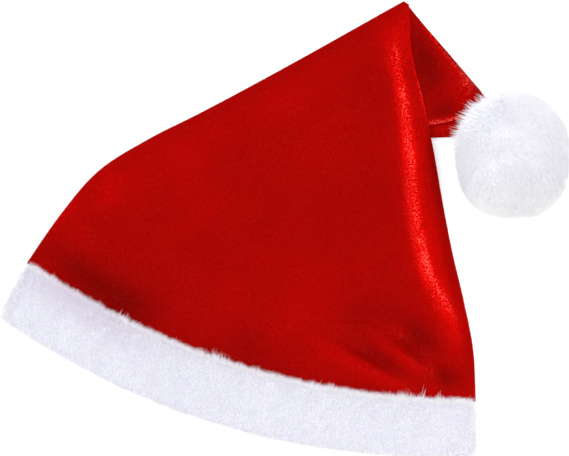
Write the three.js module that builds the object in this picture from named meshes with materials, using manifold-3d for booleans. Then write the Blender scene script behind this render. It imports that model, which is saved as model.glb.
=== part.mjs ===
// A plush-trimmed cone hat, laid flat on a table: a crown of two velour panels whose pointed end is
// pleated under and comes out to the right, a plush band sewn round the hem, and a pompom on the point.
// Millimetres. +Z is up from the table, +Y runs from the hem towards the folded corner, +X to the pompom.
// The origin is on the table, under the middle of the hat's footprint.
import * as THREE from "three";
import { mergeVertices } from "three/addons/utils/BufferGeometryUtils.js";
import Module from "manifold-3d";

const wasm = await Module();
wasm.setup();

const cloth = 1.5; // wall of a velour panel
const seamGap = 0.3; // left between pieces that are sewn together
const lay = cloth + seamGap; // rise from one panel's underside to the next one's

// The crown's sections, from the band to the folded corner. left and right are a section's ends on the
// two side edges, sag is how far its middle hangs towards the hem, room is the space between the panels,
// turn is the width over which the front panel rounds down to the right edge, and crest and rise place
// the side of the long soft roll: its distance in from that edge, and the roll's height.
const crownSections = [
  { left: [-153.9, -20.4], right: [114.3, -103.2], sag: 21.7, room: 0.6, turn: 30, crest: 8, rise: 0.05 },
  { left: [-134.3, 8.4], right: [113.0, -72.9], sag: 18.0, room: 1.0, turn: 34, crest: 8, rise: 0.1 },
  { left: [-111.5, 34.6], right: [107.3, -43.1], sag: 14.5, room: 1.6, turn: 38, crest: 17, rise: 0.95 },
  { left: [-82.0, 53.4], right: [100.4, -13.6], sag: 11.0, room: 1.9, turn: 40, crest: 20, rise: 1.15 },
  { left: [-50.9, 69.1], right: [94.6, 16.1], sag: 8.0, room: 1.9, turn: 40, crest: 19, rise: 1.15 },
  { left: [-20.1, 85.4], right: [89.4, 45.9], sag: 5.5, room: 1.8, turn: 38, crest: 15.5, rise: 1.15 },
  { left: [10.5, 102.1], right: [83.2, 75.5], sag: 3.5, room: 1.4, turn: 34, crest: 13, rise: 1 },
  { left: [41.0, 119.2], right: [76.3, 104.9], sag: 1.5, room: 0.8, turn: 18, crest: 12, rise: 0.35 },
  { left: [71.3, 136.3], right: [74.4, 134.4], sag: 0.0, room: 0.3, turn: 4, crest: 8, rise: 0.05 },
];
const leftRoll = 11; // width over which the front panel rounds down to the left edge
const crestSpread = 5.5; // half the width of the roll's side
const crestFall = 36; // width of the roll's slope back to the flat of the panel
const edgeCurl = 1.6; // how far the back panel turns up at its side edges
const edgeCurlRun = 7;

// Creases and soft ridges in the panels, each along a line on the plan. A crease starts at the given
// share of its swell, and fades out at its end. Those of the back panel stay below the front's room.
const creaseStart = 0.12;
const frontCreases = [
  { from: [22, -68], to: [76, -96], width: 7.0, height: 1.5 },
  { from: [36, -68], to: [85, -93], width: 5.0, height: -1.4 },
  { from: [56, -64], to: [86, -91], width: 5.5, height: 1.4 },
  { from: [72, -58], to: [96, -86], width: 6.5, height: -1.8 },
  { from: [95, -94], to: [90, -80], width: 3.5, height: -1.2 },
  { from: [-105, 50], to: [-99, 16], width: 8.0, height: 1.2 },
];
const backCreases = [
  { from: [-90, 24], to: [-40, -14], width: 8.0, height: 0.7 },
  { from: [-34, 58], to: [34, 6], width: 7.5, height: 0.8 },
  { from: [18, -22], to: [62, 34], width: 8.0, height: 0.6 },
];

// The plush band, a strip sewn into a ring. Its seam edge follows the crown's first section.
const hemSection = { left: [-171.0, -52.6], right: [114.6, -135.8], sag: 25.0 };
const bandPile = 8.8; // through backing and pile
const bandOuterRound = 4.6; // radius of the pile at the band's two edges
const bandInnerRound = 0.9;
const bandBulge = 0.3; // the pile's rise in the middle of the band's width
const mouthEnd = 0.9; // opening between the band's front and back at its two ends
const mouthMiddle = 2.2; // and the most that it grows to between them
const bandRun = 52; // length over which the crown comes down from the band to the table

// The pointed end, from the pleat hidden under the crown to the pompom. outer, fold and lower are the
// edges on the plan: the top edge, the lower edge of the upper layer, and that of the lower layer.
// base is the height of its underside, and puff the room between its two layers.
const tipSections = [
  { outer: [73.2, 135.0], fold: [20.0, 62.0], lower: [4.0, 54.8], base: 0, puff: 0.0 },
  { outer: [86.4, 118.8], fold: [60.0, 61.6], lower: [50.0, 54.6], base: 0, puff: 1.8 },
  { outer: [102.8, 99.3], fold: [86.4, 61.8], lower: [84.0, 54.6], base: 0, puff: 2.6 },
  { outer: [118.8, 80.4], fold: [107.0, 65.4], lower: [104.0, 55.2], base: 3.4, puff: 2.6 },
  { outer: [133.4, 64.6], fold: [122.6, 57.6], lower: [120.6, 55.6], base: 15.6, puff: 0.8 },
];
const tipOuterRun = 4; // width over which the tip's upper layer rounds down to its top edge
const tipFoldRun = 9; // and to its lower edge
const foldCorner = new THREE.Vector2(71.7, 135.9); // where the crown's end is folded
const pleatFoot = new THREE.Vector2(4.0, 54.6); // far corner of the hidden pleat
const crownEdgeFoot = new THREE.Vector2(88.4, 54.6); // where the tip's lower edge passes under the crown
const backDrape = 24; // width over which the crown's back panel comes down beside the pleat
const frontDrape = 80; // and its front panel, which bridges over
const tipFlatRun = 2; // the tip's upper layer is flat this far out from under the crown,
const tipPuffRun = 28; // and reaches its full puff this far out
const pleatMargin = 7; // width by which it stays up beyond the tip's edges

const pompomCentre = new THREE.Vector3(135.4, 43.8, 32.4);
const pompomRadii = new THREE.Vector3(34.8, 38.0, 32.0);
const pompomSquareness = 0.45; // how much squarer the half towards the hem is than an egg
const squarenessRun = 0.6; // share of that half over which it comes in
const lockLength = 9.5; // from the core to the outside of the pompom
const lockRadius = 3.3; // of a lock at its root
const lockRoot = 2.5; // how deep a lock starts inside the core
const lockCount = 190;
const lockUnevenness = 0.03; // share by which the locks differ in height
const lockLean = 1.3; // how far a lock's end leans to one side
const lockSwell = 0.5; // share by which a lock is fuller than a cone half way up
const tipEntry = new THREE.Vector3(-0.36, 0.68, -0.64); // from the pompom's centre to the tip's end
const tipEntryAngle = 0.56; // locks nearer than this to the tip's end are left out, in radians

// Faces: across and along each panel, and round the band.
const panelColumns = 26;
const panelRows = 22;
const tipColumns = 10;
const tipRows = 14;
const bandRunSteps = 26;
const bandBendSteps = 4;
const bandRoundSteps = 3;
const coreDetail = 4;
const lockSides = 3;
const lockRings = 2;

const splineOf = (rows, key) =>
  new THREE.SplineCurve(rows.map((row) => new THREE.Vector2(...[row[key]].flat())));

// Every column of a section table as a smooth curve from the first row, at 0, to the last, at 1.
const curvesOf = (rows) =>
  Object.fromEntries(Object.keys(rows[0]).map((key) => [key, splineOf(rows, key)]));

// A point on the plan, at share u across the section at share v, whose middle sags.
function planPoint(curves, start, end, u, v) {
  const from = curves[start].getPoint(v);
  const to = curves[end].getPoint(v);
  const across = to.clone().sub(from).normalize();
  const sag = curves.sag ? curves.sag.getPoint(v).x * 4 * u * (1 - u) : 0;
  return from.lerp(to, u).add(new THREE.Vector2(across.y, -across.x).multiplyScalar(sag));
}

// How far a point is to the right of the line from a to b, walking from a.
function rightOf(point, a, b) {
  const way = b.clone().sub(a).normalize();
  return (point.x - a.x) * way.y - (point.y - a.y) * way.x;
}

// 0 at an edge and 1 from run onwards, with a rounded shoulder.
const shoulder = (distance, run) => Math.sin((Math.PI / 2) * THREE.MathUtils.clamp(distance / run, 0, 1));

// Faces of a grid of quads, closed on itself where closedU or closedV is set.
function gridFaces(columns, rows, closedU, closedV, offset = 0, flip = false) {
  const wide = closedU ? columns : columns + 1;
  const high = closedV ? rows : rows + 1;
  const at = (i, j) => offset + (i % wide) + wide * (j % high);
  const faces = [];
  for (let j = 0; j < rows; j++)
    for (let i = 0; i < columns; i++) {
      const quad = [at(i, j), at(i + 1, j), at(i + 1, j + 1), at(i, j + 1)];
      if (flip) quad.reverse();
      faces.push(quad[0], quad[1], quad[2], quad[0], quad[2], quad[3]);
    }
  return faces;
}

function geometryFrom(points, faces) {
  const positions = points.flatMap((p) => [p.x, p.y, p.z]);
  const geometry = new THREE.BufferGeometry();
  geometry.setAttribute("position", new THREE.Float32BufferAttribute(positions, 3));
  geometry.setIndex(faces);
  return geometry;
}

// A cloth wall: underside(u, v) gives its lower surface, and the upper one lies a cloth's wall above.
function clothWall(columns, rows, underside) {
  const lower = [];
  for (let j = 0; j <= rows; j++)
    for (let i = 0; i <= columns; i++) {
      const u = (1 - Math.cos((Math.PI * i) / columns)) / 2; // closer together at the side edges
      lower.push(underside(u, j / rows));
    }
  const upper = lower.map((p) => p.clone().setZ(p.z + cloth));
  const count = lower.length;
  const faces = [
    ...gridFaces(columns, rows, false, false, 0),
    ...gridFaces(columns, rows, false, false, count, true),
  ];
  const wide = columns + 1;
  const rim = [
    ...Array.from({ length: columns }, (_, i) => i),
    ...Array.from({ length: rows }, (_, j) => columns + wide * j),
    ...Array.from({ length: columns }, (_, i) => wide * rows + columns - i),
    ...Array.from({ length: rows }, (_, j) => wide * (rows - j)),
  ];
  rim.forEach((a, n) => {
    const b = rim[(n + 1) % rim.length];
    faces.push(a + count, b + count, b, a + count, b, a);
  });
  return geometryFrom([...upper, ...lower], faces);
}

const crown = curvesOf(crownSections);
const crownLength = crown.left.getLength();

// Height that a panel starts from: it hangs from the band, lies on the table, rides over the hidden
// pleat, and turns up a little at its side edges.
function crownBase(point, edgeDistance, v, drape) {
  const bandLift = bandBulge + bandPile + mouthEnd / 2 - cloth - seamGap / 2;
  const fromBand = bandLift * (1 - THREE.MathUtils.smoothstep(v * crownLength, 0, bandRun));
  const inPleat = Math.min(rightOf(point, pleatFoot, foldCorner), point.y - pleatFoot.y) + pleatMargin;
  const overPleat = (2 * lay) * THREE.MathUtils.smoothstep(inPleat, -drape, 0);
  const curl = edgeCurl * (1 - shoulder(edgeDistance, edgeCurlRun)) * (1 - overPleat / (2 * lay));
  return Math.max(fromBand, overPleat) + curl * (1 - fromBand / bandLift);
}

// The long soft roll near the right edge, at a distance in from that edge.
function roll(distance, v) {
  const past = distance - crown.crest.getPoint(v).x;
  const climb = THREE.MathUtils.smoothstep(past, -crestSpread, crestSpread);
  const fall = THREE.MathUtils.smoothstep(past - crestSpread, 0, crestFall);
  return crown.rise.getPoint(v).x * climb * (1 - fall);
}

// A crease fades out towards both of its ends and away from its line.
function crease({ from, to, width, height }, point) {
  const line = new THREE.Line3(new THREE.Vector3(...from), new THREE.Vector3(...to));
  const spot = new THREE.Vector3(point.x, point.y, 0);
  const share = line.closestPointToPointParameter(spot, true);
  const away = spot.distanceTo(line.at(share, new THREE.Vector3()));
  const swell = Math.sin(Math.PI * (creaseStart + (1 - creaseStart) * share));
  return height * swell * Math.exp(-((away / width) ** 2));
}

const foldsAt = (creases, point) => creases.reduce((sum, row) => sum + crease(row, point), 0);

function crownPoint(isFront) {
  return (u, v) => {
    const point = planPoint(crown, "left", "right", u, v);
    const width = crown.left.getPoint(v).distanceTo(crown.right.getPoint(v));
    const fromLeft = u * width;
    const fromRight = (1 - u) * width;
    const base = crownBase(point, Math.min(fromLeft, fromRight), v, isFront ? frontDrape : backDrape);
    if (!isFront) return new THREE.Vector3(point.x, point.y, base + foldsAt(backCreases, point));
    const edges = shoulder(fromLeft, leftRoll) * shoulder(fromRight, crown.turn.getPoint(v).x);
    const swell = roll(fromRight, v) * shoulder(fromLeft, leftRoll);
    const loft = edges * (crown.room.getPoint(v).x + foldsAt(frontCreases, point)) + swell;
    return new THREE.Vector3(point.x, point.y, base + lay + Math.max(0, loft));
  };
}

const tip = curvesOf(tipSections);

// How far a point of the tip is out from under the crown's folded edge.
const clearOfCrown = (point) => -rightOf(point, foldCorner, crownEdgeFoot);

function tipPoint(isUpper) {
  return (u, v) => {
    const point = planPoint(tip, "outer", isUpper ? "fold" : "lower", u, v);
    const base = Math.max(0, tip.base.getPoint(v).x);
    if (!isUpper) return new THREE.Vector3(point.x, point.y, base);
    const width = tip.outer.getPoint(v).distanceTo(tip.fold.getPoint(v));
    const edges = shoulder(u * width, tipOuterRun) * shoulder((1 - u) * width, tipFoldRun);
    const shown = THREE.MathUtils.smoothstep(clearOfCrown(point), tipFlatRun, tipPuffRun);
    const puff = Math.max(0, tip.puff.getPoint(v).x) * edges * shown;
    return new THREE.Vector3(point.x, point.y, base + lay + puff);
  };
}

// Outline of the strip's section: x from the hem edge to the seam edge, y out through the pile.
function bandOutline(width) {
  const half = bandPile / 2;
  const outer = bandOuterRound;
  const inner = bandInnerRound;
  const shape = new THREE.Shape();
  shape.moveTo(inner, -half);
  shape.lineTo(width - inner, -half);
  shape.quadraticCurveTo(width, -half, width, -half + inner);
  shape.lineTo(width, half - outer);
  shape.quadraticCurveTo(width, half, width - outer, half);
  shape.quadraticCurveTo(width / 2, half + 2 * bandBulge, outer, half);
  shape.quadraticCurveTo(0, half, 0, half - outer);
  shape.lineTo(0, -half + inner);
  shape.quadraticCurveTo(0, -half, inner, -half);
  return shape.extractPoints(bandRoundSteps).shape.slice(0, -1);
}

// Stations of the flattened ring: share across the front or back, and the direction out of the ring.
function bandStations() {
  const stations = [];
  const run = (isFront) => {
    for (let i = 0; i <= bandRunSteps; i++) {
      const t = i / bandRunSteps;
      stations.push({ u: isFront ? t : 1 - t, turn: isFront ? Math.PI / 2 : -Math.PI / 2, isFront });
    }
  };
  const bend = (atRight) => {
    for (let i = 1; i < bandBendSteps; i++) {
      const t = i / bandBendSteps;
      const turn = atRight ? Math.PI / 2 - Math.PI * t : -Math.PI / 2 - Math.PI * t;
      stations.push({ u: atRight ? 1 : 0, turn, isFront: false, isBend: true });
    }
  };
  run(true);
  bend(true);
  run(false);
  bend(false);
  return stations;
}

function bandGeometry() {
  const rows = [
    { left: hemSection.left, right: hemSection.right, sag: hemSection.sag },
    crownSections[0],
  ].map(({ left, right, sag }) => ({ left, right, sag }));
  const curves = curvesOf(rows);
  const width = curves.left.getLength();
  const outline = bandOutline(width - seamGap);
  const bendRadius = (bandPile + mouthEnd) / 2;
  const inset = bendRadius + bandPile / 2;
  const points = [];
  for (const { u, turn, isFront, isBend } of bandStations())
    for (const { x, y } of outline) {
      const share = x / width;
      const sectionWidth = curves.left.getPoint(share).distanceTo(curves.right.getPoint(share));
      const mouth = mouthMiddle * Math.sin(Math.PI * u);
      const middle = bandBulge + bandPile + mouthEnd / 2 + (isFront ? mouth : 0);
      const reach = bendRadius + y;
      const out = isBend || u === 0 || u === 1 ? Math.cos(turn) * reach : 0;
      const across = (inset + u * (sectionWidth - 2 * inset) + out) / sectionWidth;
      const spot = planPoint(curves, "left", "right", across, share);
      points.push(new THREE.Vector3(spot.x, spot.y, middle + Math.sin(turn) * reach));
    }
  const stations = points.length / outline.length;
  return geometryFrom(points, gridFaces(outline.length, stations, true, true));
}

function solidOf(geometry) {
  const bare = geometry.clone();
  bare.deleteAttribute("normal");
  bare.deleteAttribute("uv");
  const merged = mergeVertices(bare, 1e-4);
  return new wasm.Manifold(
    new wasm.Mesh({
      numProp: 3,
      vertProperties: new Float32Array(merged.attributes.position.array),
      triVerts: new Uint32Array(merged.index.array),
    }),
  );
}

function geometryOf(solid) {
  const mesh = solid.getMesh();
  const geometry = new THREE.BufferGeometry();
  geometry.setAttribute("position", new THREE.BufferAttribute(mesh.vertProperties, 3));
  geometry.setIndex(new THREE.BufferAttribute(mesh.triVerts, 1));
  return geometry;
}

// The pompom's reach in a direction, as a share of an egg's.
function pompomReach(way) {
  const level = Math.max(Math.hypot(way.x, way.y), 1e-6);
  const power = 2 + pompomSquareness * THREE.MathUtils.smoothstep(-way.y / level, 0, squarenessRun);
  const square = (Math.abs(way.x / level) ** power + Math.abs(way.y / level) ** power) ** (-1 / power);
  return 1 + (square - 1) * level;
}

// The pompom's core, grown by a clearance, in place.
function coreGeometry(grow = 0) {
  const core = new THREE.IcosahedronGeometry(1, coreDetail);
  const radii = pompomRadii.clone().addScalar(grow - lockLength);
  const place = core.attributes.position;
  for (let i = 0; i < place.count; i++) {
    const way = new THREE.Vector3().fromBufferAttribute(place, i);
    place.setXYZ(i, ...way.multiplyScalar(pompomReach(way)));
  }
  return core.scale(...radii).translate(...pompomCentre);
}

// One lock of pile: a three-sided tapering tuft that leans a little to one side.
function lockGeometry(direction, index) {
  const outside = direction.clone().multiply(pompomRadii).length() * pompomReach(direction);
  const inside = outside - lockLength - lockRoot;
  const height = (outside - inside) * (1 - lockUnevenness * (0.5 + 0.5 * Math.sin(index * 2.3)));
  const cone = new THREE.ConeGeometry(lockRadius, height, lockSides, lockRings);
  const lock = cone.translate(0, inside + height / 2, 0);
  const lean = lockLean * Math.sin(index * 1.7);
  const place = lock.attributes.position;
  for (let i = 0; i < place.count; i++) {
    const share = (place.getY(i) - inside) / height;
    const full = 1 + lockSwell * Math.sin(Math.PI * share);
    place.setX(i, place.getX(i) * full + lean * share * share);
    place.setZ(i, place.getZ(i) * full);
  }
  lock.rotateY(index * 1.1);
  const turned = new THREE.Quaternion().setFromUnitVectors(new THREE.Vector3(0, 1, 0), direction);
  return lock.applyQuaternion(turned).translate(...pompomCentre);
}

function pompomGeometry() {
  const goldenAngle = Math.PI * (3 - Math.sqrt(5));
  const entry = tipEntry.clone().normalize();
  const locks = [];
  for (let i = 0; i < lockCount; i++) {
    const height = 1 - (2 * (i + 0.5)) / lockCount;
    const ring = Math.sqrt(1 - height * height);
    const way = new THREE.Vector3(ring * Math.cos(goldenAngle * i), ring * Math.sin(goldenAngle * i), height);
    if (way.angleTo(entry) > tipEntryAngle) locks.push(solidOf(lockGeometry(way, i)));
  }
  return geometryOf(wasm.Manifold.union([solidOf(coreGeometry()), ...locks]));
}

// The tip's layers end at the pompom's core.
const endAtPompom = (geometry) =>
  geometryOf(solidOf(geometry).subtract(solidOf(coreGeometry(seamGap))));

const velour = new THREE.MeshStandardMaterial({ color: 0xb00a06, roughness: 0.42, metalness: 0 });
const plush = new THREE.MeshStandardMaterial({ color: 0xf1f1f6, roughness: 0.95, metalness: 0 });

function piece(name, geometry, material) {
  const mesh = new THREE.Mesh(geometry, material);
  mesh.name = name;
  return mesh;
}

const hat = new THREE.Group();
hat.add(
  piece("crown_front", clothWall(panelColumns, panelRows, crownPoint(true)), velour),
  piece("crown_back", clothWall(panelColumns, panelRows, crownPoint(false)), velour),
  piece("tip_upper", endAtPompom(clothWall(tipColumns, tipRows, tipPoint(true))), velour),
  piece("tip_lower", endAtPompom(clothWall(tipColumns, tipRows, tipPoint(false))), velour),
  piece("band", bandGeometry(), plush),
  piece("pompom", pompomGeometry(), plush),
);

export default hat;
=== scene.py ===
import math

import bpy
import numpy as np
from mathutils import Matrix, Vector


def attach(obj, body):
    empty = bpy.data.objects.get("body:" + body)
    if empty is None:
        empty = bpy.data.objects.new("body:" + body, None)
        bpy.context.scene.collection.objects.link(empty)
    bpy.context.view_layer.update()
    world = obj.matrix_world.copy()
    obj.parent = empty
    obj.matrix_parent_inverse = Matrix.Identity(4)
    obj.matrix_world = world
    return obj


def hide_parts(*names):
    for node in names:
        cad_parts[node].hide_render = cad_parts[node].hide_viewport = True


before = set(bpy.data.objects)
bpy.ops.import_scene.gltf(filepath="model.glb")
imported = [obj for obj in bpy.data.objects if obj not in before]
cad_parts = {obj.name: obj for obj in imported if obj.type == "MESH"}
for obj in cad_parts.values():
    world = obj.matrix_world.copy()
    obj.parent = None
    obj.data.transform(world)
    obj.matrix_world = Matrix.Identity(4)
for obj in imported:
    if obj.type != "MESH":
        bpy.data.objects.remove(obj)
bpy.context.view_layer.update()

# A velour hat with a plush band and pompom, laid flat with its pointed end folded out to the right.
# Sizes in the dictionaries are millimetres, as a maker writes them, and become metres in the meshes.
mm = 0.001


def pickNothing():
    if bpy.context.object and bpy.context.object.mode != "OBJECT":
        bpy.ops.object.mode_set(mode="OBJECT")
    bpy.ops.object.select_all(action="DESELECT")


def pick(piece):
    pickNothing()
    piece.select_set(True)
    bpy.context.view_layer.objects.active = piece


def applyModifier(piece, kind, **settings):
    pick(piece)
    step = piece.modifiers.new(kind.lower(), kind)
    for setting, value in settings.items():
        setattr(step, setting, value)
    bpy.ops.object.modifier_apply(modifier=step.name)


def readPoints(piece):
    points = np.empty(len(piece.data.vertices) * 3)
    piece.data.vertices.foreach_get("co", points)
    return points.reshape(-1, 3)


def writePoints(piece, points):
    piece.data.vertices.foreach_set("co", np.ascontiguousarray(points, dtype=float).ravel())
    piece.data.update()


def lengthOf(ways):
    return np.linalg.norm(ways, axis=1)


def smoothStep(value, low, high):
    share = np.clip((value - low) / (high - low), 0, 1)
    return share * share * (3 - 2 * share)


# 0 at an edge and 1 from run onwards, with a rounded shoulder
def shoulder(distance, run):
    return np.sin(np.pi / 2 * np.clip(distance / run, 0, 1))


# A smooth curve through the rows of a table, from 0 at its first row to 1 at its last
def along(rows, share):
    rows = np.asarray(rows, float)
    if rows.ndim == 1:
        rows = rows[:, None]
    spot = np.clip(share, 0, 1) * (len(rows) - 1)
    first = np.minimum(spot.astype(int), len(rows) - 2)
    t = (spot - first)[:, None]
    p1, p2 = rows[first], rows[first + 1]
    p0 = rows[np.maximum(first - 1, 0)]
    p3 = rows[np.minimum(first + 2, len(rows) - 1)]
    bend0, bend1 = (p2 - p0) / 2, (p3 - p1) / 2
    cubic = 2 * p1 - 2 * p2 + bend0 + bend1
    square = 3 * p2 - 3 * p1 - 2 * bend0 - bend1
    curve = cubic * t**3 + square * t**2 + bend0 * t + p1
    return curve[:, 0] if rows.shape[1] == 1 else curve


# Soft wandering values between about -1 and 1, three for each point; size is the patch size in mm
def wander(points, size, seed):
    dice = np.random.default_rng(seed)
    waves, widest, narrowing, evenOut = 5, 1.5, 0.22, 2.6
    total = np.zeros((len(points), 3))
    for wave in range(waves):
        ways = dice.normal(size=(3, 3))
        ways /= lengthOf(ways)[:, None]
        scale = 2 * np.pi / (size * (widest - narrowing * wave))
        total += np.sin(points @ ways.T * scale + dice.uniform(0, 2 * np.pi, 3))
    return total / evenOut


# A point on the plan at share u across the section at share v, whose middle sags
def planPoint(start, end, sag, u, v):
    a, b = along(start, v), along(end, v)
    way = b - a
    way /= lengthOf(way)[:, None]
    drop = (along(sag, v) if sag is not None else 0) * 4 * u * (1 - u)
    return a + (b - a) * u[:, None] + np.stack([way[:, 1], -way[:, 0]], 1) * np.reshape(drop, (-1, 1))


# How far points are to the right of the line from a to b
def rightOf(points, a, b):
    way = np.subtract(b, a) / np.linalg.norm(np.subtract(b, a))
    return (points[:, 0] - a[0]) * way[1] - (points[:, 1] - a[1]) * way[0]


# The height of every fold at each point: a fold swells from its start, fades out at its end
# and falls off to both sides of its line
def foldHeight(points, folds):
    start = 0.12
    total = np.zeros(len(points))
    for x0, y0, x1, y1, width, height in folds:
        way = np.array([x1 - x0, y1 - y0])
        share = np.clip((points - [x0, y0]) @ way / np.linalg.norm(way)**2, 0, 1)
        away = lengthOf(points - [x0, y0] - share[:, None] * way)
        total += height * np.sin(np.pi * (start + (1 - start) * share)) * np.exp(-((away / width) ** 2))
    return total


# A cloth shell: a grid laid by place(u, v), in mm, then given the cloth's wall and a rounded rim
def layCloth(name, grid, wall, place):
    rimShare, rimAngle = 0.35, 60
    pickNothing()
    bpy.ops.mesh.primitive_grid_add(x_subdivisions=grid[0], y_subdivisions=grid[1], size=1)
    panel = bpy.context.object
    panel.name = name
    flat = readPoints(panel)
    # columns lie closer together towards the two side edges
    u = (1 - np.cos(np.pi * np.clip(flat[:, 0] + 0.5, 0, 1))) / 2
    writePoints(panel, place(u, np.clip(flat[:, 1] + 0.5, 0, 1)) * mm)
    applyModifier(panel, "SOLIDIFY", thickness=wall * mm, offset=0)
    applyModifier(panel, "BEVEL", width=rimShare * wall * mm, segments=2, limit_method="ANGLE",
                  angle_limit=math.radians(rimAngle))
    pick(panel)
    bpy.ops.object.shade_smooth()
    return panel


# A finished piece gets its material, slot and body, and the solids that it stands for
def finishPiece(piece, material, replaced):
    piece.data.materials.clear()
    piece.data.materials.append(material)
    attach(piece, "root")
    if replaced:
        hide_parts(*replaced)


# Each input is given a fixed value or another node's output
def feed(node, inputs):
    for socket, given in inputs.items():
        if isinstance(given, bpy.types.NodeSocket):
            node.id_data.links.new(given, node.inputs[socket])
        else:
            node.inputs[socket].default_value = given


def addNode(nodes, kind, inputs, **settings):
    node = nodes.new(kind)
    for setting, value in settings.items():
        setattr(node, setting, value)
    feed(node, inputs)
    return node


def readAttribute(nodes, name, output="Fac"):
    return addNode(nodes, "ShaderNodeAttribute", {}, attribute_name=name).outputs[output]


def calculate(nodes, operation, a, b, **settings):
    return addNode(nodes, "ShaderNodeMath", {0: a, 1: b}, operation=operation, **settings).outputs[0]


def mapRange(nodes, value, fromLow, fromHigh, toLow=0.0, toHigh=1.0):
    return addNode(nodes, "ShaderNodeMapRange", {
        "Value": value, "From Min": fromLow, "From Max": fromHigh, "To Min": toLow, "To Max": toHigh,
    }).outputs["Result"]


# A Mix node's inputs 6 and 7 are its two colours, and output 2 is the mixed one
def mixColours(nodes, share, a, b):
    return addNode(nodes, "ShaderNodeMix", {"Factor": share, 6: a, 7: b}, data_type="RGBA").outputs[2]


# A Mix node's inputs 4 and 5 are its two vectors, and output 1 is the mixed one
def mixVectors(nodes, share, a, b):
    return addNode(nodes, "ShaderNodeMix", {"Factor": share, 4: a, 5: b}, data_type="VECTOR").outputs[1]


def addNoise(nodes, place, scale, detail, roughness, distortion=0.0):
    return addNode(nodes, "ShaderNodeTexNoise", {
        "Vector": place, "Scale": scale, "Detail": detail, "Roughness": roughness, "Distortion": distortion,
    }).outputs["Fac"]


def newMaterial(name):
    material = bpy.data.materials.new(name)
    material.use_nodes = True
    return material, material.node_tree.nodes["Principled BSDF"]


# A node group: takes names its inputs and their usual values, gives names its outputs and their kinds
def newGroup(name, takes, gives):
    group = bpy.data.node_groups.new(name, "ShaderNodeTree")
    for socket, usual in takes.items():
        kind = "Vector" if usual is None else "Color" if isinstance(usual, tuple) else "Float"
        made = group.interface.new_socket(socket, in_out="INPUT", socket_type="NodeSocket" + kind)
        if usual is not None:
            made.default_value = usual
    for socket, kind in gives.items():
        group.interface.new_socket(socket, in_out="OUTPUT", socket_type="NodeSocket" + kind)
    return group, group.nodes.new("NodeGroupInput").outputs, group.nodes.new("NodeGroupOutput")


# Velour's nap: a fine glittering grain, and broad patches where the nap lies another way; the lean that it is
# given also paints shade and highlight
def makeNapAndLightGroup():
    group, given, made = newGroup("velourNapAndLight", {
        "Vector": None, "NapLeanAndLight": 0.5, "Grain": 1080.0, "Patch": 16.0, "Gloss": 0.38,
        "DeepNapAndShade": (0.1, 0.0, 0.0, 1), "RaisedNapAndLight": (0.4, 0.0, 0.0, 1), "PaintedHighlight": (0.8, 0.05, 0.05, 1),
    }, {"Color": "Color", "Roughness": "Float", "Height": "Float", "Sparkle": "Float"})
    nodes = group.nodes
    grain = addNoise(nodes, given["Vector"], given["Grain"], 2.0, 0.7)
    patch = addNoise(nodes, given["Vector"], given["Patch"], 3.0, 0.55, 0.4)
    patchShare = mapRange(nodes, patch, 0.3, 0.7, -0.09, 0.09)
    grainShare = mapRange(nodes, grain, 0.25, 0.75, -0.13, 0.13)
    # the grain shows most where the nap stands up, which makes painted glints in the painted highlight
    paintedGlintDepth = mapRange(nodes, given["NapLeanAndLight"], 0.62, 1.1, 1.0, 7.0)
    grainDepth = calculate(nodes, "MULTIPLY", paintedGlintDepth, grainShare)
    bothShares = calculate(nodes, "ADD", patchShare, grainDepth)
    rise = calculate(nodes, "ADD", bothShares, given["NapLeanAndLight"])
    colour = mixColours(nodes, rise, given["DeepNapAndShade"], given["RaisedNapAndLight"])
    # painted highlight: where the lean is painted highest the red turns pale pink, along the long roll and the
    # fold crests
    paintedHighlightShare = mapRange(nodes, rise, 0.95, 1.45)
    dulling = mapRange(nodes, grain, 0.25, 0.75, 0.12, -0.12)
    feed(made, {
        "Color": mixColours(nodes, paintedHighlightShare, colour, given["PaintedHighlight"]),
        "Roughness": calculate(nodes, "ADD", dulling, given["Gloss"], use_clamp=True),
        "Height": grain,
        "Sparkle": mapRange(nodes, grain, 0.53, 0.65, 0.0, 0.08),
    })
    return group


# Loose pile: soft clumps a few millimetres across, tinted a little in their shade
def makeFluffGroup():
    group, given, made = newGroup("looseFluff", {
        "Vector": None, "Clump": 120.0, "Fibre": 900.0,
        "Shade": (0.8, 0.8, 0.85, 1), "Light": (0.95, 0.95, 0.95, 1),
    }, {"Color": "Color", "Height": "Float"})
    nodes = group.nodes
    clump = addNoise(nodes, given["Vector"], given["Clump"], 4.0, 0.6, 0.8)
    fibre = addNoise(nodes, given["Vector"], given["Fibre"], 3.0, 0.7, 1.5)
    share = mapRange(nodes, clump, 0.32, 0.66)
    height = addNode(nodes, "ShaderNodeMath", {0: fibre, 1: 0.35, 2: clump}, operation="MULTIPLY_ADD")
    feed(made, {
        "Color": mixColours(nodes, share, given["Shade"], given["Light"]),
        "Height": height.outputs[0],
    })
    return group


velourNapAndLight = makeNapAndLightGroup()
looseFluff = makeFluffGroup()


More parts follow.
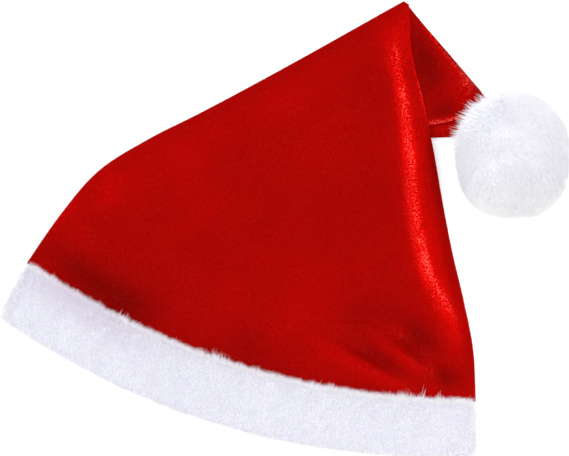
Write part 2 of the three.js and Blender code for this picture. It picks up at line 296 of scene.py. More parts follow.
def makeVelour(name, look):
    material, shader = newMaterial(name)
    nodes = material.node_tree.nodes
    nap = addNode(nodes, "ShaderNodeGroup", {
        "Vector": nodes.new("ShaderNodeTexCoord").outputs["Object"],
        "NapLeanAndLight": readAttribute(nodes, "napLeanAndPaintedLight"),
        "Grain": look["grain"], "Patch": look["patch"], "Gloss": look["gloss"],
        "DeepNapAndShade": look["deep"], "RaisedNapAndLight": look["raised"], "PaintedHighlight": look["brushed"],
    }, node_tree=velourNapAndLight).outputs
    bump = addNode(nodes, "ShaderNodeBump", {
        "Strength": look["bump"], "Distance": look["bumpDepth"], "Height": nap["Height"]})
    feed(shader, {
        "Base Color": nap["Color"], "Roughness": nap["Roughness"], "Normal": bump.outputs["Normal"],
        "Metallic": look["satin"], "Specular IOR Level": look["shine"], "Specular Tint": look["shineTint"],
        "Coat Weight": nap["Sparkle"], "Coat Roughness": look["sparkleRoughness"],
        "Sheen Weight": look["sheen"], "Sheen Roughness": look["sheenRoughness"],
        "Sheen Tint": look["sheenTint"],
    })
    return material


def placeFluff(nodes, look):
    return addNode(nodes, "ShaderNodeGroup", {
        "Vector": nodes.new("ShaderNodeTexCoord").outputs["Object"],
        "Clump": look["clump"], "Fibre": look["fibre"], "Shade": look["shade"], "Light": look["light"],
    }, node_tree=looseFluff).outputs


# The dense core under the hairs
def makePlush(name, look):
    material, shader = newMaterial(name)
    nodes = material.node_tree.nodes
    fluff = placeFluff(nodes, look)
    bump = addNode(nodes, "ShaderNodeBump", {
        "Strength": look["bump"], "Distance": look["bumpDepth"], "Height": fluff["Height"]})
    feed(shader, {
        "Base Color": fluff["Color"], "Roughness": look["roughness"], "Normal": bump.outputs["Normal"],
        "Specular IOR Level": look["shine"],
        "Sheen Weight": look["sheen"], "Sheen Roughness": look["sheenRoughness"],
    })
    return material


# The hairs, lit mostly as the soft surface that they make up together, and glowing a little of themselves as
# painted light. The coat's painted shade is above 0, and below 0 the hairs get more painted glow.
def makePile(name, look):
    material, shader = newMaterial(name)
    nodes = material.node_tree.nodes
    fluff = placeFluff(nodes, look)
    paintedShadeAndGlow = readAttribute(nodes, "paintedShadeAndGlow")
    paintedGlowShare = calculate(nodes, "MULTIPLY", paintedShadeAndGlow, -1.0)
    hairWay = nodes.new("ShaderNodeNewGeometry").outputs["Normal"]
    softWay = mixVectors(nodes, look["softness"], hairWay, readAttribute(nodes, "coatWay", "Vector"))
    unitWay = addNode(nodes, "ShaderNodeVectorMath", {0: softWay}, operation="NORMALIZE")
    feed(shader, {
        "Base Color": mixColours(nodes, paintedShadeAndGlow, fluff["Color"], look["deepShade"]),
        "Roughness": look["roughness"], "Normal": unitWay.outputs[0],
        "Specular IOR Level": look["shine"],
        "Subsurface Weight": look["soak"], "Subsurface Radius": (1, 1, 1),
        "Subsurface Scale": look["soakDepth"],
        "Emission Color": mixColours(nodes, paintedGlowShare, look["glow"], look["fullPaintedGlow"]),
        "Emission Strength": look["glowStrength"],
    })
    return material


velourLook = {
    "grain": 1080.0, "patch": 16.0, "gloss": 0.38, "bump": 0.7, "bumpDepth": 0.00016,
    # deep and raised are the nap's two tones and also its painted shade and painted light; brushed is the pale
    # pink of the painted highlight
    "deep": (0.10, 0.0003, 0.0001, 1),
    "raised": (0.43, 0.0006, 0.0002, 1),
    "brushed": (0.80, 0.055, 0.04, 1),
    "satin": 0.55, "shine": 0.3, "shineTint": (1.0, 0.06, 0.04, 1), "sparkleRoughness": 0.16,
    "sheen": 0.03, "sheenRoughness": 0.35, "sheenTint": (1.0, 0.05, 0.03, 1),
}
plushLook = {
    "clump": 140.0, "fibre": 900.0, "bump": 0.5, "bumpDepth": 0.0015,
    "shade": (0.64, 0.63, 0.73, 1),
    "light": (0.70, 0.70, 0.79, 1),
    "roughness": 0.9, "shine": 0.1, "sheen": 0.25, "sheenRoughness": 0.6,
}
pompomLook = {
    **plushLook, "clump": 90.0,
    "shade": (0.75, 0.75, 0.81, 1),
    "light": (0.81, 0.81, 0.85, 1),
}
pileLook = {
    **plushLook,
    "shade": (0.63, 0.62, 0.69, 1),
    "light": (0.66, 0.66, 0.70, 1),
    "deepShade": (0.39, 0.27, 0.41, 1),
    "softness": 0.96,
    "soak": 0.9, "soakDepth": 0.0008,
    # the pile glows a little of itself, a painted light that brightens its shaded hairs
    "glow": (0.76, 0.76, 0.82, 1), "fullPaintedGlow": (1.0, 1.0, 1.0, 1), "glowStrength": 0.55,
}
crownVelour = makeVelour("crownVelour", velourLook)
tipVelour = makeVelour("tipVelour", {**velourLook, "patch": 22.0})
bandPlush = makePlush("bandPlush", plushLook)
pompomPlush = makePlush("pompomPlush", pompomLook)
pilePlush = makePile("pilePlush", pileLook)
print("materials made")


crown = {
    "cloth": 1.5,
    "seamGap": 0.3,
    "frontGrid": (120, 100),
    "backGrid": (64, 56),
    # left edge x, y; right edge x, y; sag; room; turn; crest; rise
    "sections": np.array([
        (-153.9, -20.4, 114.3, -103.2, 21.7, 0.6, 30, 8, 0.05),
        (-134.3, 8.4, 113.0, -72.9, 18.0, 1.0, 34, 8, 0.1),
        (-111.5, 34.6, 107.3, -43.1, 14.5, 1.6, 38, 17, 0.95),
        (-82.0, 53.4, 100.4, -13.6, 11.0, 1.9, 40, 20, 1.15),
        (-50.9, 69.1, 94.6, 16.1, 8.0, 1.9, 40, 19, 1.15),
        (-20.1, 85.4, 89.4, 45.9, 5.5, 1.8, 38, 15.5, 1.15),
        (10.5, 102.1, 83.2, 75.5, 3.5, 1.4, 34, 13, 1.0),
        (41.0, 119.2, 76.3, 104.9, 1.5, 0.8, 18, 12, 0.35),
        (71.3, 136.3, 74.4, 134.4, 0.0, 0.3, 4, 8, 0.05),
    ]),
    "leftRoll": 11,
    "crestSpread": 5.5,
    "crestFall": 36,
    "edgeCurl": 1.6,
    "edgeCurlRun": 7,
    # from x, y; to x, y; width; height
    "frontCreases": [
        (22, -68, 76, -96, 7.0, 1.5),
        (36, -68, 85, -93, 5.0, -1.4),
        (56, -64, 86, -91, 5.5, 1.4),
        (72, -58, 96, -86, 6.5, -1.8),
        (95, -94, 90, -80, 3.5, -1.2),
        (-105, 50, -99, 16, 8.0, 1.2),
    ],
    # the same, raised only as far as the front panel's room over them
    "backCreases": [
        (-90, 24, -40, -14, 8.0, 0.7),
        (-34, 58, 34, 6, 7.5, 0.8),
        (18, -22, 62, 34, 8.0, 0.6),
    ],
    # from x, y; to x, y; width; lean of the nap, darker below 0 and brighter above; besides the nap it paints
    # shade into the creases and along the band and edges, and a painted highlight along the long roll and
    # crease ridges
    "frontNapAndLight": [
        (-141, -16, -69, -58, 11, -0.38),
        (18, -68, 74, -96, 6, 0.24),
        (34, -67, 84, -91, 6, -0.32),
        (56, -66, 85, -91, 4, 0.26),
        (68, -56, 96, -78, 10, -0.32),
        (86, -86, 112, -92, 7, -0.34),
        (103, -56, 107, -77, 6, 0.12),
        (64, 124, 68, 92, 10, 0.30),
        (66, 106, 73, 66, 4.2, 0.34),
        (71, 84, 76, 34, 4.5, 0.36),
        (75, 50, 80, 0, 4.5, 0.38),
        (78, 14, 88, -36, 4.5, 0.40),
        (84, -20, 108, -65, 3.8, 0.44),
        (80, 112, 90, 50, 5, 0.20),
        (76.5, 104, 88.5, 54, 0.8, 0.4),
        (-108, 38, -103, 10, 7, 0.18),
        (86, 64, 103, -38, 4, -0.22),
        (40, -40, 52, -66, 15, -0.16),
        (-60, -60, 34, -86, 13, -0.13),
        (-122, 10, 66, 118, 15, 0.10),
    ],
    "backNapAndLight": [
        (-110, 2, -30, -46, 15, -0.26),
        (-46, 62, 30, -4, 10, 0.20),
        (10, -44, 88, -78, 11, -0.30),
        (30, -16, 74, 52, 8, 0.18),
        (56, 118, 84, 40, 9, 0.22),
    ],
}
lay = crown["cloth"] + crown["seamGap"]  # what one layer of cloth takes up

band = {
    "hemLeft": (-171.0, -52.6),
    "hemRight": (114.6, -135.8),
    "hemSag": 25.0,
    "pile": 8.8,
    "bulge": 0.3,
    "mouthEnd": 0.9,
    "mouthMiddle": 2.2,
    "crownRun": 52,  # over which the crown comes down from the band
}

tip = {
    "grid": (36, 50),
    # outer x, y; fold x, y; lower x, y; base; puff
    "sections": np.array([
        (73.2, 135.0, 20.0, 62.0, 4.0, 54.8, 0, 0.0),
        (86.4, 118.8, 60.0, 61.6, 50.0, 54.6, 0, 1.8),
        (102.8, 99.3, 86.4, 61.8, 84.0, 54.6, 0, 2.6),
        (118.8, 80.4, 107.0, 65.4, 104.0, 55.2, 3.4, 2.6),
        (133.4, 64.6, 122.6, 57.6, 120.6, 55.6, 15.6, 0.8),
    ]),
    "length": 0.94,  # of the table's length: the layers end just inside the pompom
    "outerRun": 4,
    "foldRun": 9,
    "puffRun": (2, 28),  # past the crown's edge
    "foldCorner": (71.7, 135.9),
    "pleatFoot": (4.0, 54.6),
    "crownEdgeFoot": (88.4, 54.6),
    "backDrape": 24,
    "frontDrape": 80,
    "margin": 7,
    # as the crown's nap, with painted shade beside the crown's edge and painted highlight along the fold crest
    # and outer edge
    "upperNapAndLight": [
        (78, 124, 92, 72, 12, -0.36),
        (84, 116, 114, 84, 6, 0.22),
        (110, 88, 104, 70, 6, 0.22),
        (106, 92, 120, 76, 6, 0.24),
        (90, 82, 112, 90, 4, 0.12),
        (88, 68, 104, 74, 5, -0.26),
        (80, 62.6, 116, 67.4, 1.9, 0.75),
        (82, 122.4, 119, 78, 1.0, 0.4),
    ],
    "lowerNapAndLight": [
        (84, 59, 112, 61, 3, 0.30),
    ],
}

leftEdge, rightEdge = crown["sections"][:, 0:2], crown["sections"][:, 2:4]
crownLength = lengthOf(np.diff(along(leftEdge, np.linspace(0, 1, 400)), axis=0)).sum()
backingMiddle = band["bulge"] + band["pile"] + band["mouthEnd"] / 2


# The panels' height over the table: up at the band, and up again over the pleated end
def crownBase(points, edgeDistance, v, drape):
    lift = backingMiddle - crown["cloth"] - crown["seamGap"] / 2
    fromBand = lift * (1 - smoothStep(v * crownLength, 0, band["crownRun"]))
    inPleat = np.minimum(rightOf(points, tip["pleatFoot"], tip["foldCorner"]),
                         points[:, 1] - tip["pleatFoot"][1]) + tip["margin"]
    overPleat = smoothStep(inPleat, -drape, 0)
    curl = crown["edgeCurl"] * (1 - shoulder(edgeDistance, crown["edgeCurlRun"])) * (1 - overPleat)
    return np.maximum(fromBand, 2 * lay * overPleat) + curl * (1 - fromBand / lift)


def crownPlan(u, v):
    points = planPoint(leftEdge, rightEdge, crown["sections"][:, 4], u, v)
    width = lengthOf(along(rightEdge, v) - along(leftEdge, v))
    return points, u * width, (1 - u) * width


def placeCrownBack(u, v):
    points, fromLeft, fromRight = crownPlan(u, v)
    base = crownBase(points, np.minimum(fromLeft, fromRight), v, tip["backDrape"])
    return np.column_stack([points, base + foldHeight(points, crown["backCreases"]) + crown["cloth"] / 2])


def placeCrownFront(u, v):
    points, fromLeft, fromRight = crownPlan(u, v)
    base = crownBase(points, np.minimum(fromLeft, fromRight), v, tip["frontDrape"])
    room, turn, crest, rise = (along(crown["sections"][:, column], v) for column in (5, 6, 7, 8))
    edges = shoulder(fromLeft, crown["leftRoll"]) * shoulder(fromRight, turn)
    past = fromRight - crest
    spread = crown["crestSpread"]
    climb = smoothStep(past, -spread, spread) * (1 - smoothStep(past - spread, 0, crown["crestFall"]))
    roll = rise * climb * shoulder(fromLeft, crown["leftRoll"])
    loft = edges * (room + foldHeight(points, crown["frontCreases"])) + roll
    return np.column_stack([points, base + lay + np.maximum(0, loft) + crown["cloth"] / 2])


# How the nap leans at each point, with painted shade and painted highlight laid over it, kept on the cloth for
# its material
def paintNapAndLight(piece, patches):
    points = readPoints(piece)[:, :2] / mm
    lean = 0.5 + foldHeight(points, patches)
    piece.data.attributes.new("napLeanAndPaintedLight", "FLOAT", "POINT").data.foreach_set("value", lean)


crownFront = layCloth("crownFront", crown["frontGrid"], crown["cloth"], placeCrownFront)
paintNapAndLight(crownFront, crown["frontNapAndLight"])
finishPiece(crownFront, crownVelour, ["crown_front"])

crownBack = layCloth("crownBack", crown["backGrid"], crown["cloth"], placeCrownBack)
paintNapAndLight(crownBack, crown["backNapAndLight"])
finishPiece(crownBack, crownVelour, ["crown_back"])
print("crown laid")


def placeTip(isUpper):
    rows = tip["sections"]
    outer = rows[:, 0:2]
    inner = rows[:, 2:4] if isUpper else rows[:, 4:6]

    def place(u, v):
        v = v * tip["length"]
        points = planPoint(outer, inner, None, u, v)
        base = np.maximum(0, along(rows[:, 6], v))
        if not isUpper:
            return np.column_stack([points, base + crown["cloth"] / 2])
        width = lengthOf(along(inner, v) - along(outer, v))
        edges = shoulder(u * width, tip["outerRun"]) * shoulder((1 - u) * width, tip["foldRun"])
        shown = smoothStep(-rightOf(points, tip["foldCorner"], tip["crownEdgeFoot"]), *tip["puffRun"])
        puff = np.maximum(0, along(rows[:, 7], v)) * edges * shown
        return np.column_stack([points, base + lay + puff + crown["cloth"] / 2])

    return place


tipUpper = layCloth("tipUpper", tip["grid"], crown["cloth"], placeTip(True))
paintNapAndLight(tipUpper, tip["upperNapAndLight"])
finishPiece(tipUpper, tipVelour, ["tip_upper"])

tipLower = layCloth("tipLower", tip["grid"], crown["cloth"], placeTip(False))
paintNapAndLight(tipLower, tip["lowerNapAndLight"])
finishPiece(tipLower, tipVelour, ["tip_lower"])
print("pointed end folded")


# A coat of fine straight hairs, each a three-sided spike, all in one mesh. Every hair also carries the way
# that the coat faces there and its painted shade, or below 0 its painted glow, which shows on all but the
# coat's underside.
def growPile(name, roots, ways, outward, thickness, shadeAndGlowPatches):
    count = len(roots)
    underside = -0.5
    dice = np.random.default_rng(count)
    side = np.cross(ways, dice.normal(size=(count, 3)))
    side /= lengthOf(side)[:, None]
    other = np.cross(ways / lengthOf(ways)[:, None], side)
    corners = [roots + (side * math.cos(turn) + other * math.sin(turn)) * np.reshape(thickness, (-1, 1))
               for turn in (0, 2 * math.pi / 3, 4 * math.pi / 3)]
    points = np.stack([*corners, roots + ways], 1).reshape(-1, 3) * mm
    hair = np.array([(0, 2, 1), (0, 1, 3), (1, 2, 3), (2, 0, 3)])
    faces = (np.arange(count)[:, None, None] * 4 + hair[None]).reshape(-1, 3)
    mesh = bpy.data.meshes.new(name)
    mesh.vertices.add(len(points))
    mesh.vertices.foreach_set("co", points.ravel())
    mesh.loops.add(faces.size)
    mesh.loops.foreach_set("vertex_index", faces.ravel().astype(np.int32))
    mesh.polygons.add(len(faces))
    mesh.polygons.foreach_set("loop_start", np.arange(0, faces.size, 3, dtype=np.int32))
    mesh.polygons.foreach_set("use_smooth", np.ones(len(faces), bool))
    mesh.update(calc_edges=True)
    coatWay = mesh.attributes.new("coatWay", "FLOAT_VECTOR", "POINT")
    coatWay.data.foreach_set("vector", np.repeat(outward, 4, axis=0).ravel())
    shade = np.clip(foldHeight(roots[:, :2], shadeAndGlowPatches), -1, 1) * (outward[:, 2] > underside)
    paintedShadeAndGlow = mesh.attributes.new("paintedShadeAndGlow", "FLOAT", "POINT")
    paintedShadeAndGlow.data.foreach_set("value", np.repeat(shade, 4))
    coat = bpy.data.objects.new(name, mesh)
    bpy.context.scene.collection.objects.link(coat)
    finishPiece(coat, pilePlush, [])
    return coat


bandRows = {
    "left": np.array([band["hemLeft"], leftEdge[0]]),
    "right": np.array([band["hemRight"], rightEdge[0]]),
    "sag": np.array([band["hemSag"], crown["sections"][0, 4]]),
}
bandWidth = np.linalg.norm(bandRows["left"][1] - bandRows["left"][0])
bandCoat = {
    "depth": 1.5,  # of loose pile over the dense core
    "edgeDepth": 1.8,
    "rootDepth": 0.4,
    "endTrim": 0.25,  # share of the trim that is left at the ring's two bends
    "outerBlunt": 0.5,  # roundness of the outer face, squarer towards 0
    "blunt": 0.42,  # the same for the edges and the inner face
    "hairs": 34000,  # in each stretch
    "length": 4.2,
    "lengthRange": (0.7, 1.0),
    "thickness": 0.14,
    "stand": 0.36,
    "brush": (0.45, 0.5),  # outwards from the strip's middle, and what its edges add
    "scatter": 0.30,
    "seamRange": (0.55, 1),  # from the strip's middle to its edges
    "edgeGrowth": 0.25,
    "tuftShare": 0.35,
    "tuftPatch": 20,
    "tuftScatter": 0.25,
    "tuftRange": (0.35, 1.0),
    "tuftGrowth": (1.1, 1.6),
    "tuftThickness": 1.7,
    "overTable": 0.3,
    # size of the patches; how much they differ
    "lengthPatch": (6, 0.16),
    "swirl": (20, 0.16),
    "tuftCurl": (7, 1.6),
    # soft painted shade on the pile: from x, y; to x, y; width; depth
    "shadeAndGlowPatches": [
        (-158, -27, -69, -79, 8, 1.0),
        (-150, -24, -84, -66, 4, 0.4),
        (-84, -68, 45, -98, 4, 0.55),
        (96, -106, 108, -124, 5, 0.2),
    ],
    # name; from and to, as shares of the way round the ring; seed
    "stretches": [
        ("bandPileFront", -0.02, 0.24, 11),
        ("bandPileRight", 0.24, 0.50, 12),
        ("bandPileBack", 0.50, 0.98, 13),
    ],
}


# The band's surface: turn goes round the ring from 0 to 1, front first, and around is the angle
# about the strip's own section; trim pulls it in from the coat's outside
def bandSurface(turn, around, trim, edgeTrim):
    runShare, bendShare = 0.46, 0.04
    up, blunt, endTrim = np.pi / 2, bandCoat["blunt"], bandCoat["endTrim"]
    turn = np.mod(turn, 1)
    parts = [
        turn < runShare,
        (turn >= runShare) & (turn < 0.5),
        (turn >= 0.5) & (turn < 0.5 + runShare),
    ]
    u = np.select(parts, [turn / runShare, np.ones_like(turn), 1 - (turn - 0.5) / runShare], 0.0)
    rightBend = up - np.pi * (turn - runShare) / bendShare
    leftBend = -up - np.pi * (turn - 0.5 - runShare) / bendShare
    bendAngle = np.select(parts, [np.full_like(turn, up), rightBend, np.full_like(turn, -up)], leftBend)
    half = band["pile"] / 2
    low, high = edgeTrim, bandWidth - crown["seamGap"] - edgeTrim
    cosine, sine = np.cos(around), np.sin(around)
    x = (low + high) / 2 - (high - low) / 2 * np.sign(cosine) * np.abs(cosine) ** blunt
    outward = half - trim * (endTrim + (1 - endTrim) * np.abs(np.sin(bendAngle)))
    y = np.where(sine > 0, outward * np.abs(sine) ** bandCoat["outerBlunt"], -half * np.abs(sine) ** blunt)
    y = y + band["bulge"] * np.maximum(0, sine)
    radius = (band["pile"] + band["mouthEnd"]) / 2
    inset = radius + half
    share = x / bandWidth
    sectionWidth = lengthOf(along(bandRows["right"], share) - along(bandRows["left"], share))
    reach = (radius + y) * np.cos(bendAngle)
    across = (inset + u * (sectionWidth - 2 * inset) + reach) / sectionWidth
    spot = planPoint(bandRows["left"], bandRows["right"], bandRows["sag"], across, share)
    mouth = band["mouthMiddle"] * np.sin(np.pi * u) * (np.sin(bendAngle) > 0)
    return np.column_stack([spot, backingMiddle + mouth + np.sin(bendAngle) * (radius + y)])


def surfaceNormals(surface, turn, around):
    turnStep, aroundStep, tiny = 1e-3, 6e-3, 1e-9
    alongTurn = surface(turn + turnStep, around) - surface(turn - turnStep, around)
    alongAround = surface(turn, around + aroundStep) - surface(turn, around - aroundStep)
    normals = np.cross(alongTurn, alongAround)
    return normals / np.maximum(lengthOf(normals), tiny)[:, None]


def makeBandCore():
    pickNothing()
    bpy.ops.mesh.primitive_torus_add(major_segments=260, minor_segments=28, major_radius=2, minor_radius=1)
    core = bpy.context.object
    core.name = "bandCore"
    points = readPoints(core)
    turn = np.mod(np.arctan2(points[:, 1], points[:, 0]) / (2 * np.pi), 1)
    around = np.arctan2(points[:, 2], 2 - np.hypot(points[:, 0], points[:, 1]))
    writePoints(core, bandSurface(turn, around, bandCoat["depth"], bandCoat["edgeDepth"]) * mm)
    pick(core)
    bpy.ops.object.mode_set(mode="EDIT")
    bpy.ops.mesh.select_all(action="SELECT")
    bpy.ops.mesh.normals_make_consistent(inside=False)
    bpy.ops.object.mode_set(mode="OBJECT")
    bpy.ops.object.shade_smooth()
    finishPiece(core, bandPlush, ["band"])
    return core


def coatBand(name, fromTurn, toTurn, seed):
    coat, hairs, leastWay = bandCoat, bandCoat["hairs"], 0.4
    dice = np.random.default_rng(seed)

    def core(turn, around):
        trim, edgeTrim = coat["depth"] + coat["rootDepth"], coat["edgeDepth"] + coat["rootDepth"]
        return bandSurface(turn, around, trim, edgeTrim)

    # even spacing over the strip's outside, from just inside one edge to just inside the other
    samples, sampleTurn, pastEdge, jitter = 1601, 0.2, 0.2, 0.002
    angles = np.pi / 2 + np.linspace(-1, 1, samples) ** 3 * (np.pi / 2 + pastEdge)
    steps = lengthOf(np.diff(core(np.full(samples, sampleTurn), angles), axis=0))
    run = np.concatenate([[0], np.cumsum(steps)])
    evenSteps = np.arange(hairs)[:, None] * [0.7548777, 0.5698403]
    spread = (evenSteps + dice.uniform(-jitter, jitter, (hairs, 2))) % 1
    turn = fromTurn + (toTurn - fromTurn) * spread[:, 0]
    around = np.interp(spread[:, 1] * run[-1], run, angles)

    roots = core(turn, around)
    normals = surfaceNormals(core, turn, around)
    middle = (roots + core(turn, around + np.pi)) / 2
    normals *= np.sign(np.sum(normals * (roots - middle), axis=1))[:, None]
    # the pile is brushed outwards from the strip's middle, in soft swirls
    seamward = core(turn, np.full(hairs, np.pi)) - core(turn, np.zeros(hairs))
    seamward /= lengthOf(seamward)[:, None]
    brushed = -np.sign(np.cos(around)) * np.abs(np.cos(around)) ** coat["blunt"]
    patch, depth = coat["swirl"]
    swirl = wander(roots, patch, 14) * depth + dice.normal(scale=coat["scatter"], size=(hairs, 3))
    patch, depth = coat["lengthPatch"]
    growth = dice.uniform(*coat["lengthRange"], hairs) + depth * wander(roots, patch, 17)[:, 0]
    length = coat["length"] * growth[:, None]
    atSeam = smoothStep(brushed, *coat["seamRange"])[:, None]
    outwards, more = coat["brush"]
    ways = normals * coat["stand"] + seamward * brushed[:, None] * (outwards + more * atSeam) + swirl
    # here and there a loose tuft stands out over the seam
    looseness = wander(roots, coat["tuftPatch"], 18)[:, 0] + dice.normal(scale=coat["tuftScatter"], size=hairs)
    loose = smoothStep(looseness, *coat["tuftRange"]) * atSeam[:, 0]
    isTuft = dice.uniform(size=hairs) < coat["tuftShare"] * loose
    ways *= length * (1 + coat["edgeGrowth"] * atSeam) / np.maximum(lengthOf(ways), leastWay)[:, None]
    ways *= np.where(isTuft, dice.uniform(*coat["tuftGrowth"], hairs), 1.0)[:, None]
    patch, depth = coat["tuftCurl"]
    ways += np.where(isTuft[:, None], wander(roots, patch, 19) * depth, 0)
    ways[:, 2] += np.maximum(0, coat["overTable"] - roots[:, 2] - ways[:, 2])  # the coat rests on the table
    thickness = coat["thickness"] * np.where(isTuft, coat["tuftThickness"], 1.0)
    return growPile(name, roots, ways, normals, thickness, coat["shadeAndGlowPatches"])


bandCore = makeBandCore()
bandHairs = [coatBand(*stretch) for stretch in bandCoat["stretches"]]
print("band covered")


pompom = {
    "centre": (135.4, 43.8, 32.4),
    "radii": (34.8, 38.0, 32.0),
    "fullness": 0.45,  # how much squarer the ball's lower half is than an egg
    "fullFrom": 0.6,
    "coat": 2.5,  # depth of the loose pile over the dense core
    "rootDepth": 0.6,
    "hairs": 38000,  # in each layer
    "length": 5.6,
    "lengthRange": (0.7, 1.0),
    "thickness": 0.14,
    "combed": (0.25, -0.95, 0.1),  # away from the pointed end
    "flow": 0.7,
    "scatter": 0.28,
    "stand": 0.42,
    "tipWay": (-0.755, 0.65, 0.05),  # towards the pointed end
    "tipRange": (0.72, 0.92),  # from the ball's side to the pointed end
    "wispShare": 0.08,
    "wispStand": 0.95,
    "wispSwirl": 0.6,
    "wispGrowth": (1.1, 2.1),
    "wispThickness": 2.2,
    "overTable": 0.4,
    # size of the patches; how much they differ
    "lumps": (14, 0.2),
    "lengthPatch": (8, 0.12),
    "combWander": (26, 0.12),
    # so thick a coat lets light round its sides, as if they faced further up
    "facing": 0.6,
    "upwards": [-0.08, 0.12, 0.9],
    # from x, y; to x, y; width; depth of the painted shade, or below 0 of the painted glow
    "shadeAndGlowPatches": [
        (127, 84, 131, 60, 2.2, 0.36),
        (132, 72, 137, 54, 2.0, 0.32),
        (133, 38, 135, 18, 3, 0.36),
        (145, 44, 142, 20, 6, 0.30),
        (153, 74, 166, 20, 10, 0.28),
        (103, 39, 108, 22, 2.5, 0.45),
        (98, 12, 178, 12, 16, -0.8),
        (98, 40, 178, 40, 40, -0.12),
    ],
    # name and seed
    "layers": [("pompomPileInner", 41), ("pompomPileOuter", 42)],
}


# The pompom's surface in each direction, trimmed by the depth of its coat
def pompomSurface(ways, trim):
    tiny = 1e-6
    level = np.maximum(np.hypot(ways[:, 0], ways[:, 1]), tiny)
    side, end = np.abs(ways[:, 0]) / level, np.abs(ways[:, 1]) / level
    power = 2 + pompom["fullness"] * smoothStep(-ways[:, 1] / level, 0, pompom["fullFrom"])
    full = (side**power + end**power) ** (-1 / power)
    reach = 1 + (full - 1) * level
    return ways * (np.array(pompom["radii"]) - trim) * reach[:, None] + pompom["centre"]


def makePompomCore():
    pickNothing()
    bpy.ops.mesh.primitive_ico_sphere_add(subdivisions=5, radius=1)
    core = bpy.context.object
    core.name = "pompomCore"
    ways = readPoints(core)
    ways /= lengthOf(ways)[:, None]
    points = pompomSurface(ways, pompom["coat"])
    patch, depth = pompom["lumps"]
    points += ways * wander(points, patch, 21)[:, :1] * depth
    writePoints(core, points * mm)
    pick(core)
    bpy.ops.object.shade_smooth()
    finishPiece(core, pompomPlush, ["pompom"])
    return core


def coatPompom(name, seed):
    hairs, leastWay, leastFlow = pompom["hairs"], 0.4, 0.3
    dice = np.random.default_rng(seed)
    # even spacing all round the ball, by the golden angle
    goldenAngle, jitter = 2.3999632, 0.008
    order = np.arange(hairs) + 0.5
    height, turn = 1 - 2 * order / hairs, order * goldenAngle + seed
    ring = np.sqrt(1 - height**2)
    ways = np.column_stack([ring * np.cos(turn), ring * np.sin(turn), height])
    ways += dice.normal(scale=jitter, size=(hairs, 3))
    ways /= lengthOf(ways)[:, None]
    roots = pompomSurface(ways, pompom["coat"] + pompom["rootDepth"])
    patch, depth = pompom["combWander"]
    flow = np.array(pompom["combed"]) + wander(roots, patch, 31) * depth
    flow -= ways * np.sum(flow * ways, axis=1)[:, None]
    flow /= np.maximum(lengthOf(flow), leastFlow)[:, None]
    swirl = flow * pompom["flow"] + dice.normal(scale=pompom["scatter"], size=(hairs, 3))
    patch, depth = pompom["lengthPatch"]
    growth = dice.uniform(*pompom["lengthRange"], hairs) + depth * wander(roots, patch, 34)[:, 0]
    length = pompom["length"] * growth[:, None]
    # longer wisps stand out where the pointed end comes in
    atTip = smoothStep(ways @ np.array(pompom["tipWay"]), *pompom["tipRange"])
    isWisp = (dice.uniform(size=hairs) < pompom["wispShare"] * atTip)[:, None]
    wisp = ways * pompom["wispStand"] + swirl * pompom["wispSwirl"]
    reach = np.where(isWisp, wisp, ways * pompom["stand"] + swirl)
    length = length * np.where(isWisp, dice.uniform(*pompom["wispGrowth"], (hairs, 1)), 1.0)
    reach *= length / np.maximum(lengthOf(reach), leastWay)[:, None]
    reach[:, 2] += np.maximum(0, pompom["overTable"] - roots[:, 2] - reach[:, 2])
    thickness = pompom["thickness"] * np.where(isWisp, pompom["wispThickness"], 1.0)
    outward = ways * pompom["facing"] + pompom["upwards"]
    return growPile(name, roots, reach, outward, thickness, pompom["shadeAndGlowPatches"])


pompomCore = makePompomCore()
for layer in pompom["layers"]:
    coatPompom(*layer)
print("pompom covered")


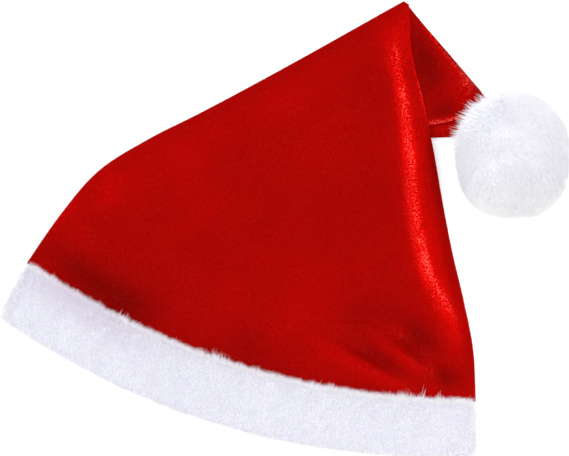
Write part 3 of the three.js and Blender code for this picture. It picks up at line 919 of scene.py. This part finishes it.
# places in metres
studio = {
    "pixelsWide": 569,
    "mmPerPixel": 0.6,
    "cameraPlace": (0, 0.0006, 2.4),
    "sensor": 36.0,
    "tableSize": 8,
    "tableTop": -0.0002,
    "tableColour": (0.92, 0.92, 0.92, 1),
    "tableGlow": 0.35,
    "airColour": (0.96, 0.97, 1.0, 1),
    "airStrength": 0.48,
    # name; place; aim; width, height; watts; colour
    "softboxes": [
        ("sideBox", (0.98, -0.1, 2.0), (0.05, 0, 0), 2.8, 0.26, 29, (1, 0.97, 0.92)),
        ("fillBox", (-1.1, 0.7, 2.2), (0, 0, 0), 4.0, 4.0, 53, (0.93, 0.95, 1)),
        ("frontBox", (-0.3, -1.5, 1.9), (0.1, 0, 0), 1.6, 0.3, 15, (1, 0.99, 0.98)),
    ],
}


def makeTable():
    pickNothing()
    bpy.ops.mesh.primitive_plane_add(size=studio["tableSize"], location=(0, 0, studio["tableTop"]))
    table = bpy.context.object
    table.name = "table"
    material, shader = newMaterial("paleTable")
    feed(shader, {
        "Base Color": studio["tableColour"], "Roughness": 0.9, "Specular IOR Level": 0.1,
        "Emission Color": (1, 1, 1, 1), "Emission Strength": studio["tableGlow"],
    })
    table.data.materials.append(material)


def makeWorld():
    world = bpy.data.worlds.new("studio")
    world.use_nodes = True
    feed(world.node_tree.nodes["Background"], {
        "Color": studio["airColour"], "Strength": studio["airStrength"]})
    bpy.context.scene.world = world


def addSoftbox(name, place, aim, width, height, watts, colour):
    light = bpy.data.lights.new(name, "AREA")
    light.color = colour
    light.shape = "RECTANGLE"
    light.size, light.size_y = width, height
    light.energy = watts
    box = bpy.data.objects.new(name, light)
    bpy.context.scene.collection.objects.link(box)
    box.location = place
    box.rotation_euler = Vector(np.subtract(aim, place)).to_track_quat("-Z", "Y").to_euler()


# Straight above the hat, wide enough for the whole frame
def makeCamera():
    camera = bpy.data.cameras.new("overhead")
    camera.sensor_width = studio["sensor"]
    wide = studio["pixelsWide"] * studio["mmPerPixel"] * mm
    camera.lens = studio["sensor"] * studio["cameraPlace"][2] / wide
    stand = bpy.data.objects.new("overhead", camera)
    bpy.context.scene.collection.objects.link(stand)
    stand.location = studio["cameraPlace"]
    bpy.context.scene.camera = stand


makeTable()
makeWorld()
for softbox in studio["softboxes"]:
    addSoftbox(*softbox)
makeCamera()
bpy.context.scene.view_settings.view_transform = "Standard"
print("studio set")
